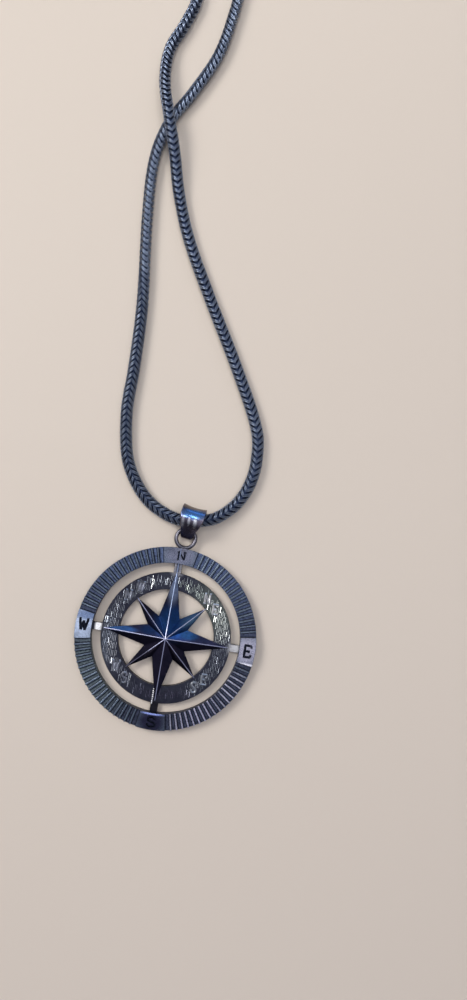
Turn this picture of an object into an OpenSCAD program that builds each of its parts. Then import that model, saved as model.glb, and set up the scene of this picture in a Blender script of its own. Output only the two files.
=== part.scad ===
// Compass pendant on a foxtail chain, lying on a table. Millimetres.
// The pendant's centre is the origin, east is +X, north is +Y, and the table is z = 0.

/* [Outer ring] */
// Outside diameter of the outer ring
ring_d = 32; // [28:0.5:40]
// Radial width of the outer ring's band
ring_band = 2.85; // [2.4:0.05:3.4]
// Thickness of the outer ring, from its back to the tops of its ridges
ring_t = 1.9; // [1.6:0.05:2.6]
// Depth of the grooves between the ridges
groove_depth = 0.45; // [0.2:0.05:0.6]
// Width of one ridge
ridge_w = 0.3; // [0.2:0.02:0.44]
// Number of ridges in each of the two upper quarters
ridges_upper = 17; // [8:1:18]
// Number of ridges in each of the two lower quarters
ridges_lower = 18; // [8:1:19]
// Angle that the north letter plate covers
north_plate_angle = 22.5; // [16:0.5:28]
// Angle that each of the other letter plates covers
plate_angle = 18.75; // [14:0.25:24]

/* [Eyelet] */
// Outside diameter of the eyelet soldered to the ring's north rim
eyelet_d = 4.1; // [3.9:0.1:5]
// Wire diameter of the eyelet
eyelet_wire = 0.7; // [0.5:0.05:0.8]
// How far the eyelet's wire is sunk into the rim by its solder
eyelet_sink = 0.25; // [0.15:0.05:0.35]
// Angle of the eyelet from north, clockwise
eyelet_turn = 1.5; // [-4:0.5:4]

/* [Inner ring] */
// Open gap between the outer ring and the inner ring
ring_gap = 1.65; // [1:0.05:2.4]
// Radial width of the inner ring's band
inner_band = 3.05; // [2.6:0.05:3.6]
// Thickness of the inner ring
inner_t = 1.2; // [1:0.05:1.5]
// Width of the four bars across the gap
bar_w = 1.3; // [0.8:0.05:2]
// Thickness of the four bars
bar_t = 1; // [0.7:0.05:1]
// Depth that each bar's end enters the outer ring
peg_depth = 0.5; // [0.3:0.05:0.8]
// Gap between a joined piece and its socket, on each side
joint_gap = 0.05; // [0.03:0.01:0.08]

/* [Compass star] */
// How far the north point reaches outwards from the inner ring's inner edge
north_reach = 3.35; // [2.4:0.05:3.6]
// How far the east, south and west points reach outwards from that edge
long_reach = 2.75; // [2.2:0.05:3.2]
// How far the four short points reach outwards from that edge
short_reach = 0.3; // [0.2:0.05:0.8]
// Radius of the valleys between the points
valley_r = 4; // [3.2:0.1:4.6]
// Angle of a valley from the nearest long point
valley_angle = 27.5; // [25:0.5:30]
// Height of the star's upright edge
star_edge = 0.4; // [0.3:0.05:0.7]
// Height of the star's middle above its edge
star_rise = 1.9; // [1.2:0.1:2.6]
// Diameter of the rivet pins under the four long points
pin_d = 0.6; // [0.4:0.05:0.7]
// Distance of the pins outwards from the inner ring's inner edge
pin_inset = 0.85; // [0.6:0.05:0.95]

/* [Bail] */
// Thickness of the bail's sheet
bail_t = 0.5; // [0.4:0.05:0.6]
// Width of the bail at its rim
bail_rim_w = 4.2; // [3.6:0.1:4.8]
// Share of the rim's width that the tip keeps
bail_taper = 0.42; // [0.34:0.02:0.46]
// How far the rim's edges flare out past its middle
bail_flare = 0.25; // [0.1:0.05:0.4]
// Room round the chain in the bail's upper bend
bail_room = 0.5; // [0.45:0.05:0.8]
// Room between the chain in the bail and the eyelet
chain_room = 0.55; // [0.5:0.05:1]
// Room round the eyelet's wire in the bail's lower bend
bail_play = 0.32; // [0.28:0.02:0.5]
// How far the tip hangs past the eyelet's centre
bail_drop = 0.05; // [0:0.05:0.2]
// Angle of the bail from north, clockwise
bail_turn = 8; // [2:1:12]

/* [Chain] */
// Diameter of the chain
chain_d = 2.1; // [1.7:0.1:2.4]
// Gap between the two strands where they cross
chain_gap = 0.15; // [0.1:0.05:0.4]

/* [Clasp] */
// Length of the barrel clasp
clasp_len = 12; // [10:0.5:16]
// Wall of the clasp round the chain's ends
clasp_wall = 0.55; // [0.4:0.05:0.9]
// Depth of the sockets that take the chain's ends
clasp_socket = 2.5; // [1.5:0.1:4]
// Depth of the two grip grooves round the clasp
grip_depth = 0.25; // [0.1:0.05:0.35]

/* [Hidden] */
$fn = 64;
// Overrun of a cut past the face that it opens
cut = 1;
// Plan radii, from the rim inwards
ring_r = ring_d / 2;
ring_in_r = ring_r - ring_band;
inner_r = ring_in_r - ring_gap;
inner_in_r = inner_r - inner_band;
// Each letter plate as [direction in degrees clockwise from north, angle it covers]
plates = [[0, north_plate_angle], [90, plate_angle], [180, plate_angle], [270, plate_angle]];
// Number of ridges in the quarter that follows each plate
ridge_counts = [ridges_upper, ridges_lower, ridges_lower, ridges_upper];
// The eyelet's ring, whose height leaves room for the back of the bail under it
tip_r = eyelet_wire / 2 + bail_play;
eyelet_r = (eyelet_d - eyelet_wire) / 2;
eyelet_out = ring_r + eyelet_d / 2 - eyelet_sink;
eyelet_at = [eyelet_out * sin(eyelet_turn), eyelet_out * cos(eyelet_turn), bail_t + tip_r];
// The bail's two bends in its side view: inside radius, distance from the eyelet, and height
rim_r = chain_d / 2 + bail_room;
tip_mid = [tip_r + bail_t - bail_drop, bail_t + tip_r];
rim_mid = [eyelet_d / 2 + chain_room + chain_d / 2, bail_flare + bail_t + rim_r];
bail_len = bail_drop + rim_mid[0] + rim_r + bail_t;
// Width of the bail, as [share of its length from the tip, share from tip width to rim width]
bail_widths = [[0, 0], [0.08, 0.24], [0.3, 0.43], [0.45, 0.7], [0.6, 0.92], [0.75, 1], [1, 1]];
// Facets of the bail: along a full turn of its bends, along each strap, and across it
bail_turn_steps = 24;
bail_strap_steps = 6;
bail_columns = 8;
// Middle of the bail's upper bend on the table, from which the chain's route is measured
bend_at = [eyelet_at[0], eyelet_at[1]] + rim_mid[0] * [sin(bail_turn), cos(bail_turn)];
chain_r = chain_d / 2;
// Height that the chain is lifted where it lies in the bail, and where it crosses itself
bail_lift = bail_flare + bail_t + joint_gap;
cross_lift = chain_d + chain_gap;
// Place of the clasp on the table from that same point, and its size
clasp_at = [-13, 219];
clasp_r = chain_r + joint_gap + clasp_wall;
clasp_lift = clasp_r - chain_r;
// Half the distance between the chain's two ends, and between the places where it can bend
end_x = clasp_len / 2 - clasp_socket + joint_gap;
mouth_x = clasp_len / 2 + cut / 2;
// The chain's route from one end to the other, chosen by eye. The columns are x and y from the
// bail's bend, then the shares of cross_lift and of bail_lift that raise the chain there.
chain_route = [
    [2, 216.5, 0, 0], [11, 209, 0, 0], [19.5, 190, 0, 0], [19.5, 168, 0, 0], [12.5, 147, 0, 0],
    [2, 129, 0, 0], [-6, 112, 0, 0], [-8, 104, 0, 0], [-8.5, 97.5, 0, 0], [-10, 88, 0, 0],
    [-13.5, 79.5, 0, 0], [-17, 72.5, 0, 0], [-18.4, 65, 0, 0], [-17.8, 54.5, 0, 0],
    [-15.7, 37, 0, 0], [-15.1, 25, 0, 0], [-15, 17.5, 0, 0], [-13.5, 9.5, 0, 0],
    [-11.3, 5.2, 0, 0], [-8.1, 1.8, 0, 0.15], [-4.5, 0, 0, 0.65], [-2, -0.5, 0, 1],
    [0, -0.25, 0, 1], [2, 0, 0, 1], [4.4, 1, 0, 0.8], [7.4, 4, 0, 0.2], [9.2, 8, 0, 0],
    [9.7, 12.5, 0, 0], [8.8, 18, 0, 0], [3.7, 28, 0, 0], [-3.9, 41, 0, 0], [-9.5, 51.2, 0, 0],
    [-12.8, 59.5, 0.07, 0], [-14.8, 66.5, 0.55, 0], [-17, 73, 1, 0], [-19, 80, 0.55, 0],
    [-19.3, 87, 0.07, 0], [-17.4, 92.5, 0, 0], [-16, 98, 0, 0], [-16.5, 105, 0, 0],
    [-20, 113, 0, 0], [-29, 129, 0, 0], [-39, 147, 0, 0], [-45.5, 168, 0, 0],
    [-45.5, 190, 0, 0], [-37, 209, 0, 0], [-28, 216.5, 0, 0]];
// Longest distance between two of the chain's drawn sections, and the sides of a section
ring_step = 11.5;
chain_sides = 8;

// A flat ring, from z = 0 up
module band(r_out, r_in, h) {
    difference() {
        cylinder(r = r_out, h = h);
        translate([0, 0, -cut]) cylinder(r = r_in, h = h + 2 * cut);
    }
}

// A copy of the child in each of the four main directions
module four_ways() {
    for (a = [0:90:270]) rotate(a) children();
}

// Point on the side of a ridge that runs out at an angle clockwise from north
function ridge_side(angle, radius, side) =
    [radius * sin(angle) + side * cos(angle), radius * cos(angle) - side * sin(angle)];

// Groove cutter between two edges, each given by its angle and its offset to the side
module groove(from_angle, from_side, to_angle, to_side) {
    r_low = ring_in_r - cut;
    r_high = ring_r + cut;
    translate([0, 0, ring_t - groove_depth]) linear_extrude(groove_depth + cut)
        polygon([ridge_side(from_angle, r_low, from_side), ridge_side(from_angle, r_high, from_side),
                 ridge_side(to_angle, r_high, to_side), ridge_side(to_angle, r_low, to_side)]);
}

// All the grooves of the quarter that follows one plate
module quarter_grooves(q) {
    start = plates[q][0] + plates[q][1] / 2;
    stop = plates[q][0] + 90 - plates[(q + 1) % 4][1] / 2;
    step = (stop - start) / (ridge_counts[q] + 1);
    for (k = [0:ridge_counts[q]]) {
        groove(start + k * step, k == 0 ? 0 : ridge_w / 2,
               start + (k + 1) * step, k == ridge_counts[q] ? 0 : -ridge_w / 2);
    }
}

// Outer ring with its ridges, its four letter plates, its eyelet and sockets for the bars
module outer_ring() {
    color([0.32, 0.34, 0.4]) difference() {
        union() {
            difference() {
                band(ring_r, ring_in_r, ring_t);
                for (q = [0:3]) quarter_grooves(q);
            }
            translate(eyelet_at)
                rotate_extrude() translate([eyelet_r, 0]) circle(d = eyelet_wire, $fn = 32);
        }
        four_ways() translate([-bar_w / 2 - joint_gap, ring_in_r - cut, -cut])
            cube([bar_w + 2 * joint_gap, cut + peg_depth, cut + bar_t + joint_gap]);
    }
}

// Inner ring with four bars whose ends enter the outer ring's sockets
module inner_ring() {
    bar_in = (inner_r + inner_in_r) / 2;
    color([0.24, 0.24, 0.27]) difference() {
        union() {
            band(inner_r, inner_in_r, inner_t);
            four_ways() translate([-bar_w / 2, bar_in, 0])
                cube([bar_w, ring_in_r + peg_depth - joint_gap - bar_in, bar_t]);
        }
        four_ways() translate([0, inner_in_r + pin_inset, -cut])
            cylinder(d = pin_d + 2 * joint_gap, h = inner_t + 2 * cut);
    }
}

// Radius of the star's point in one of eight directions, counted clockwise from north
function point_r(k) = inner_in_r + (k == 0 ? north_reach : k % 2 == 0 ? long_reach : short_reach);

// Plan of the star, point, valley, point and so on, clockwise
star_plan = [for (k = [0:7])
    each [[45 * k, point_r(k)], [45 * k + (k % 2 == 0 ? valley_angle : 45 - valley_angle), valley_r]]];

// Eight-pointed star that rises to a ridge along each point, riveted on the inner ring
module compass_star() {
    n = len(star_plan);
    low = [for (p = star_plan) [p[1] * sin(p[0]), p[1] * cos(p[0]), inner_t]];
    high = [for (p = low) p + [0, 0, star_edge]];
    apex = [0, 0, inner_t + star_edge + star_rise];
    color([0.07, 0.1, 0.22]) union() {
        polyhedron(
            points = concat(low, high, [apex, [0, 0, inner_t]]),
            faces = [for (k = [0:n - 1]) each [
                [k, (k + 1) % n, n + (k + 1) % n, n + k],
                [n + k, n + (k + 1) % n, 2 * n],
                [2 * n + 1, (k + 1) % n, k]]]);
        four_ways() translate([0, inner_in_r + pin_inset, 0])
            cylinder(d = pin_d, h = inner_t + star_edge / 2);
    }
}

// Stations round the bail's loop, each as [share of the way from tip bend to rim bend, direction
// that the sheet faces]: rim bend, front strap, tip bend, back strap
function bail_stations() =
    let (
        run = rim_mid - tip_mid,
        slope = atan2(run[1], run[0]),
        lean = asin((rim_r - tip_r) / norm(run)),
        rim_turn = 180 + 2 * lean,
        tip_turn = 180 - 2 * lean,
        rim_steps = ceil(bail_turn_steps * rim_turn / 360),
        tip_steps = ceil(bail_turn_steps * tip_turn / 360),
        back = slope - rim_turn / 2,
        front = slope + rim_turn / 2)
    concat(
        [for (k = [0:rim_steps]) [1, back + rim_turn * k / rim_steps]],
        [for (k = [1:bail_strap_steps - 1]) [1 - k / bail_strap_steps, front]],
        [for (k = [0:tip_steps]) [0, front + tip_turn * k / tip_steps]],
        [for (k = [1:bail_strap_steps - 1]) [k / bail_strap_steps, back]]);

// Point on the bail's sheet at a station, a side from -1 to 1 and a depth in from its outer face
function bail_point(station, side, depth) =
    let (
        facing = [cos(station[1]), sin(station[1])],
        mid = tip_mid + (rim_mid - tip_mid) * station[0],
        radius = tip_r + (rim_r - tip_r) * station[0] + bail_t - depth,
        flare = bail_flare * side * side * station[0],
        share = (mid[0] + (radius + depth) * facing[0] + bail_drop) / bail_len,
        width = bail_rim_w * (bail_taper + (1 - bail_taper) * lookup(share, bail_widths)),
        at = mid + (radius + flare) * facing)
    [side * width / 2, at[0], at[1]];

// Saddle-shaped bail, a closed loop of sheet through the eyelet and round the chain
module bail() {
    stations = bail_stations();
    n = len(stations);
    outer = [for (c = [0:bail_columns]) [2 * c / bail_columns - 1, 0]];
    inner = [for (c = [bail_columns:-1:0]) [2 * c / bail_columns - 1, bail_t]];
    edge = concat(outer, inner);
    m = len(edge);
    color([0.2, 0.24, 0.36]) translate([eyelet_at[0], eyelet_at[1], 0]) rotate(-bail_turn)
        polyhedron(
            points = [for (st = stations) for (e = edge) bail_point(st, e[0], e[1])],
            faces = [for (i = [0:n - 1]) for (k = [0:m - 1])
                let (a = i * m + k, b = i * m + (k + 1) % m,
                     c = (i + 1) % n * m + (k + 1) % m, d = (i + 1) % n * m + k)
                each [[a, b, c], [a, c, d]]]);
}

// Direction of the route at one of its points
function heading(p, i) =
    let (d = p[min(i + 1, len(p) - 1)] - p[max(i - 1, 0)]) d / norm(d);

// Point on a smooth curve through the route, at share s of the stretch after point i
function route_at(p, i, s) =
    let (
        span = norm(p[i + 1] - p[i]),
        at = (2 * s * s * s - 3 * s * s + 1) * p[i]
            + (s * s * s - 2 * s * s + s) * span * heading(p, i)
            + (3 * s * s - 2 * s * s * s) * p[i + 1]
            + (s * s * s - s * s) * span * heading(p, i + 1))
    [at[0], at[1], max(at[2], chain_r)];

// Centres of the drawn sections along the whole route
function sections(p) = concat(
    [for (i = [0:len(p) - 2])
        let (count = ceil(norm(p[i + 1] - p[i]) / ring_step))
        for (k = [0:count - 1]) route_at(p, i, k / count)],
    [p[len(p) - 1]]);

// Chain as a tube along its route: round the neck loop, through the bail, and back to the clasp
module chain() {
    bend = [bend_at[0], bend_at[1], chain_r];
    held = [clasp_at[0], clasp_at[1], clasp_lift];
    lying = [for (p = chain_route) [p[0], p[1], p[2] * cross_lift + p[3] * bail_lift]];
    route = concat([held + [end_x, 0, 0], held + [mouth_x, 0, 0]], lying,
                   [held - [mouth_x, 0, 0], held - [end_x, 0, 0]]);
    path = sections([for (p = route) p + bend]);
    n = len(path);
    m = chain_sides;
    rings = [for (i = [0:n - 1])
        let (
            t = heading(path, i),
            side = cross([0, 0, 1], t),
            across = side / norm(side),
            up = cross(t, across))
        for (k = [0:m - 1])
            path[i] + chain_r * (cos(360 * k / m) * across + sin(360 * k / m) * up)];
    color([0.25, 0.28, 0.37]) polyhedron(
        points = rings,
        faces = concat(
            [[for (k = [0:m - 1]) k]],
            [for (i = [0:n - 2]) for (k = [0:m - 1])
                [i * m + k, (i + 1) * m + k, (i + 1) * m + (k + 1) % m, i * m + (k + 1) % m]],
            [[for (k = [m - 1:-1:0]) (n - 1) * m + k]]));
}

// Barrel clasp that holds both ends of the chain
module clasp() {
    at = [bend_at[0] + clasp_at[0], bend_at[1] + clasp_at[1], clasp_r];
    color([0.3, 0.31, 0.36]) translate(at) rotate([0, 90, 0]) difference() {
        cylinder(r = clasp_r, h = clasp_len, center = true);
        for (s = [-1, 1]) {
            translate([0, 0, s * (clasp_len / 2 + cut / 2 - clasp_socket / 2)])
                cylinder(r = chain_r + joint_gap, h = clasp_socket + cut, center = true);
            translate([0, 0, s * clasp_len / 8]) rotate_extrude()
                translate([clasp_r + grip_depth, 0]) circle(r = 2 * grip_depth, $fn = 32);
        }
    }
}

outer_ring();
inner_ring();
compass_star();
bail();
chain();
clasp();
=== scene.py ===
"""Looks of the compass pendant necklace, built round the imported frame.

Every piece is modelled in millimetres, in the frame's own axes, and is brought to metres when it
becomes an object. East is +X, north is +Y, up is +Z, and the table is z = 0.
"""

import logging
import math
import random
from dataclasses import dataclass
from enum import Enum
from typing import Callable, Iterable, Sequence

import bmesh
import bpy
import numpy as np
from mathutils import Matrix, Vector


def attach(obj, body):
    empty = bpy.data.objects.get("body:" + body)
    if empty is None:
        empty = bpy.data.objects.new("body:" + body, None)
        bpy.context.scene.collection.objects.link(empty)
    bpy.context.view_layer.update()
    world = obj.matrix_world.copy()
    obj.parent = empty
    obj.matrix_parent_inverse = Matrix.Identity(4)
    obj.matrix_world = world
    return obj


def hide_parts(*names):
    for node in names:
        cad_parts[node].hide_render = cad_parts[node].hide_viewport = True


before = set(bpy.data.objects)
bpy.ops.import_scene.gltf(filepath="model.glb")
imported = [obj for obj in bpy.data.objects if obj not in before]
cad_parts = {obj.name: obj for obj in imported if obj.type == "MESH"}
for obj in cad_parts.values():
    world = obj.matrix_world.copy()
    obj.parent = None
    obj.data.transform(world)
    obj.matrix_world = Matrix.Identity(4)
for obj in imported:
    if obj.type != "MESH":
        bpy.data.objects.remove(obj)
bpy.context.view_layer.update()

logging.basicConfig(level=logging.INFO, format="%(name)s: %(message)s")
log = logging.getLogger("compass_pendant")

MM = 0.001
BODY = "root"
# Distance under which two corners are one, in millimetres
WELD = 0.0001
# Distance within which a point counts as on a face or a circle, in millimetres
NEAR = 0.01
# Angle under which two faces of a carried-over solid are one, in degrees
FLAT = 0.2
# Angle above which an outer edge of a solid is rounded, in degrees
SHARP = 40
# Brightness of the plated parts of a patch, as a share of its worn parts
PLATED_SHARE = 0.72

Colour = tuple[float, float, float]
Point2 = tuple[float, float]
Point3 = tuple[float, float, float]
# Centre, reach and colour of a soft patch
Spot = tuple[Point3, Point3, Colour]
# Points of a line, whether it is closed, and whether it is smooth
Line = tuple[Sequence[Point3], bool, bool]
BMesh = bmesh.types.BMesh
Edge = bmesh.types.BMEdge
Object = bpy.types.Object
Node = bpy.types.Node
Socket = bpy.types.NodeSocket


class Compass(Enum):
    """The four main directions, each as its angle clockwise from north."""

    NORTH = 0.0
    EAST = 90.0
    SOUTH = 180.0
    WEST = 270.0


class Slot(Enum):
    """The record's material slots."""

    RING = "ring_metal"
    DARK = "dark_metal"
    STAR = "star_metal"
    BAIL = "bail_metal"
    CHAIN = "chain_metal"


def polar(angle: float, radius: float, height: float = 0.0) -> Vector:
    """Point at an angle clockwise from north.

    Args:
        angle: Degrees clockwise from north.
        radius: Distance from the pendant's centre.
        height: Height above the table.

    Returns:
        The point, in the same unit as the radius.
    """
    turn = math.radians(angle)
    return Vector((radius * math.sin(turn), radius * math.cos(turn), height))


class Bench:
    """Steps that turn meshes in millimetres into finished pieces."""

    @staticmethod
    def linked(name: str, data: bpy.types.ID) -> Object:
        """Makes an object of some data, linked to the scene at the origin."""
        made = bpy.data.objects.new(name, data)
        bpy.context.scene.collection.objects.link(made)
        return made

    @staticmethod
    def data_of(mesh: BMesh, name: str) -> bpy.types.Mesh:
        """Makes mesh data of a mesh, which is freed."""
        data = bpy.data.meshes.new(name)
        mesh.to_mesh(data)
        mesh.free()
        return data

    @staticmethod
    def evaluated(made: Object) -> bpy.types.Mesh:
        """Makes the mesh of an object with its modifiers applied."""
        bpy.context.view_layer.update()
        return bpy.data.meshes.new_from_object(made.evaluated_get(bpy.context.evaluated_depsgraph_get()))

    @staticmethod
    def move(mesh: BMesh, shift: Sequence[float] = (0, 0, 0), stretch: Sequence[float] = (1, 1, 1),
             turn: float = 0.0, axis: str = "Z") -> None:
        """Stretches a mesh, then turns it about an axis and shifts it.

        Args:
            mesh: The mesh.
            shift: Distance along each axis.
            stretch: Factor along each axis.
            turn: Angle in degrees.
            axis: Letter of the axis that it turns about.
        """
        bmesh.ops.scale(mesh, vec=stretch, verts=mesh.verts)
        bmesh.ops.rotate(mesh, matrix=Matrix.Rotation(math.radians(turn), 3, axis), verts=mesh.verts)
        bmesh.ops.translate(mesh, vec=shift, verts=mesh.verts)

    @staticmethod
    def outwards(mesh: BMesh) -> None:
        """Turns the faces of a mesh outwards."""
        bmesh.ops.recalc_face_normals(mesh, faces=mesh.faces)

    @staticmethod
    def piece(name: str, mesh: BMesh, smooth_angle: float = 30.0) -> Object:
        """Makes an object in metres from a mesh in millimetres.

        Args:
            name: Name of the new object.
            mesh: The mesh, which is freed.
            smooth_angle: Largest angle between two faces that are shaded as one surface, in degrees.

        Returns:
            The object.
        """
        Bench.move(mesh, stretch=(MM, MM, MM))
        data = Bench.data_of(mesh, name)
        data.polygons.foreach_set("use_smooth", [True] * len(data.polygons))
        data.set_sharp_from_angle(angle=math.radians(smooth_angle))
        return Bench.linked(name, data)

    @staticmethod
    def solid_of(node: str) -> BMesh:
        """Welded copy of a CAD node's mesh, in millimetres, with its flat faces made whole.

        Args:
            node: Name of the CAD node.

        Returns:
            The copy, with its normals outwards.
        """
        copy = bmesh.new()
        copy.from_mesh(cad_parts[node].data)
        Bench.move(copy, stretch=(1 / MM, 1 / MM, 1 / MM))
        bmesh.ops.remove_doubles(copy, verts=copy.verts, dist=WELD)
        bmesh.ops.dissolve_limit(copy, angle_limit=math.radians(FLAT), verts=copy.verts, edges=copy.edges)
        Bench.outwards(copy)
        return copy

    @staticmethod
    def bevel(mesh: BMesh, edges: Sequence[Edge], width: float, segments: int = 2, clamp: bool = False,
              material: int = -1) -> None:
        """Rounds some edges of a mesh.

        Args:
            mesh: The mesh.
            edges: The edges.
            width: Width that is taken off each side of an edge.
            segments: Number of new faces across an edge.
            clamp: Whether the width gives way where it doesn't fit.
            material: Slot of the new faces, or -1 for that of their neighbours.
        """
        bmesh.ops.bevel(mesh, geom=edges, offset=width, offset_type="OFFSET", segments=segments,
                        profile=0.5, affect="EDGES", clamp_overlap=clamp, material=material)

    @staticmethod
    def round_edges(mesh: BMesh, width: float, wanted: Callable[[Edge], bool]) -> None:
        """Rounds the sharp outer edges of a mesh.

        Args:
            mesh: The mesh.
            width: Width that is taken off each side of an edge.
            wanted: Says whether an edge that is sharp enough is rounded.
        """
        edges = [edge for edge in mesh.edges
                 if edge.is_manifold and edge.is_convex
                 and edge.calc_face_angle(0.0) > math.radians(SHARP) and wanted(edge)]
        Bench.bevel(mesh, edges, width)

    @staticmethod
    def wires(lines: Iterable[Line], radius: float, sides: int) -> BMesh:
        """Makes round wire along some lines.

        Args:
            lines: The lines.
            radius: Radius of the wire.
            sides: Number of sides of the wire.

        Returns:
            The wire's mesh.
        """
        section = bpy.data.curves.new("wire section", "CURVE")
        loop = section.splines.new("POLY")
        loop.points.add(sides - 1)
        loop.use_cyclic_u = True
        for index, point in enumerate(loop.points):
            turn = 2 * math.pi * (index + 0.5) / sides
            point.co = (radius * math.cos(turn), radius * math.sin(turn), 0, 1)
        curve = bpy.data.curves.new("wire line", "CURVE")
        curve.dimensions = "3D"
        curve.twist_mode = "MINIMUM"
        curve.bevel_mode = "OBJECT"
        curve.bevel_object = Bench.linked("wire section", section)
        curve.use_fill_caps = True
        curve.resolution_u = 3
        for points, closed, smooth in lines:
            spline = curve.splines.new("NURBS" if smooth else "POLY")
            spline.points.add(len(points) - 1)
            for target, point in zip(spline.points, points):
                target.co = (*point, 1)
            spline.use_cyclic_u = closed
            if smooth:
                spline.order_u = 3
                spline.use_endpoint_u = not closed
        data = Bench.evaluated(Bench.linked("wire line", curve))
        wire = bmesh.new()
        wire.from_mesh(data)
        bmesh.ops.remove_doubles(wire, verts=wire.verts, dist=WELD)
        Bench.outwards(wire)
        bpy.data.meshes.remove(data)
        bpy.data.curves.remove(curve)
        bpy.data.curves.remove(section)
        return wire

    @staticmethod
    def add(whole: BMesh, part: BMesh) -> None:
        """Adds a mesh to another and frees it."""
        data = Bench.data_of(part, "part")
        whole.from_mesh(data)
        bpy.data.meshes.remove(data)

    @staticmethod
    def array(part: BMesh, step: float, count: int) -> BMesh:
        """Makes a row of copies of a mesh along x.

        Args:
            part: The mesh, which is freed.
            step: Distance between two copies.
            count: Number of copies.

        Returns:
            The whole row.
        """
        row = Bench.linked("row", Bench.data_of(part, "row"))
        repeat = row.modifiers.new("copies", "ARRAY")
        repeat.count = count
        repeat.use_relative_offset = False
        repeat.use_constant_offset = True
        repeat.constant_offset_displace = (step, 0, 0)
        whole = bmesh.new()
        whole.from_mesh(Bench.evaluated(row))
        bpy.data.objects.remove(row)
        return whole

    @staticmethod
    def cut(body: Object, tool: Object) -> None:
        """Takes a tool's shape out of a body and removes the tool."""
        step = body.modifiers.new("engraving", "BOOLEAN")
        step.operation = "DIFFERENCE"
        step.solver = "EXACT"
        step.use_self = True
        step.object = tool
        data = Bench.evaluated(body)
        body.modifiers.clear()
        old = body.data
        body.data = data
        bpy.data.meshes.remove(old)
        bpy.data.objects.remove(tool)

    @staticmethod
    def finish(made: Object, material: bpy.types.Material, slot: Slot, *nodes: str) -> None:
        """Dresses a piece and ties it to the frame.

        Args:
            made: The piece.
            material: Its material.
            slot: Not used.
            nodes: CAD nodes that it stands for.
        """
        made.data.materials.append(material)
        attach(made, BODY)
        if nodes:
            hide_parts(*nodes)
        log.info("%s: %d faces", made.name, len(made.data.polygons))


class Graph:
    """Short way to add and link shader nodes."""

    def __init__(self, tree: bpy.types.NodeTree) -> None:
        """Keeps the tree that the nodes go into."""
        self.tree = tree

    def feed(self, node: Node, inputs: dict[str | int, object]) -> Node:
        """Fills some inputs of a node.

        Args:
            node: The node.
            inputs: Value or link of each of these inputs, by its name or its place.

        Returns:
            The same node.
        """
        for key, value in inputs.items():
            target = node.inputs[key]
            if isinstance(value, Socket):
                self.tree.links.new(value, target)
            elif target.type == "RGBA":
                target.default_value = (*value, 1.0)
            else:
                target.default_value = value
        return node

    def node(self, kind: str, inputs: dict[str | int, object] | None = None, **settings: object) -> Node:
        """Adds a node.

        Args:
            kind: Blender's name of the node's type.
            inputs: Value or link of each input that isn't left as it is.
            settings: Values of its properties.

        Returns:
            The node.
        """
        made = self.tree.nodes.new(kind)
        for key, value in settings.items():
            setattr(made, key, value)
        return self.feed(made, inputs or {})

    def group(self, tree: bpy.types.NodeTree, inputs: dict[str | int, object]) -> Node:
        """Places a group and fills its inputs."""
        return self.node("ShaderNodeGroup", inputs, node_tree=tree)

    def place(self, kind: str = "Object") -> Socket:
        """Gives one kind of texture coordinates."""
        return self.node("ShaderNodeTexCoord").outputs[kind]

    def calc(self, operation: str, first: object, second: object) -> Socket:
        """Combines two numbers."""
        return self.node("ShaderNodeMath", {0: first, 1: second}, operation=operation).outputs[0]

    def vector(self, operation: str, inputs: dict[str | int, object], output: str = "Vector") -> Socket:
        """Combines vectors."""
        return self.node("ShaderNodeVectorMath", inputs, operation=operation).outputs[output]

    def mix(self, factor: Socket, first: object, second: object) -> Socket:
        """Goes from a first colour to a second one as the factor rises."""
        inputs = {"Factor": factor, "A": first, "B": second}
        return self.node("ShaderNodeMix", inputs, data_type="RGBA").outputs["Result"]

    def ramp(self, value: Socket, start: object, end: object, low: object = 0.0, high: object = 1.0,
             kind: str = "SMOOTHSTEP") -> Socket:
        """Goes from low to high as a value goes from start to end.

        Args:
            value: The value.
            start: Value at which the result is low.
            end: Value at which the result is high.
            low: Result at the start and before it.
            high: Result at the end and after it.
            kind: Blender's name of the way between them.

        Returns:
            The result.
        """
        inputs = {"Value": value, "From Min": start, "From Max": end, "To Min": low, "To Max": high}
        return self.node("ShaderNodeMapRange", inputs, interpolation_type=kind).outputs["Result"]


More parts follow.
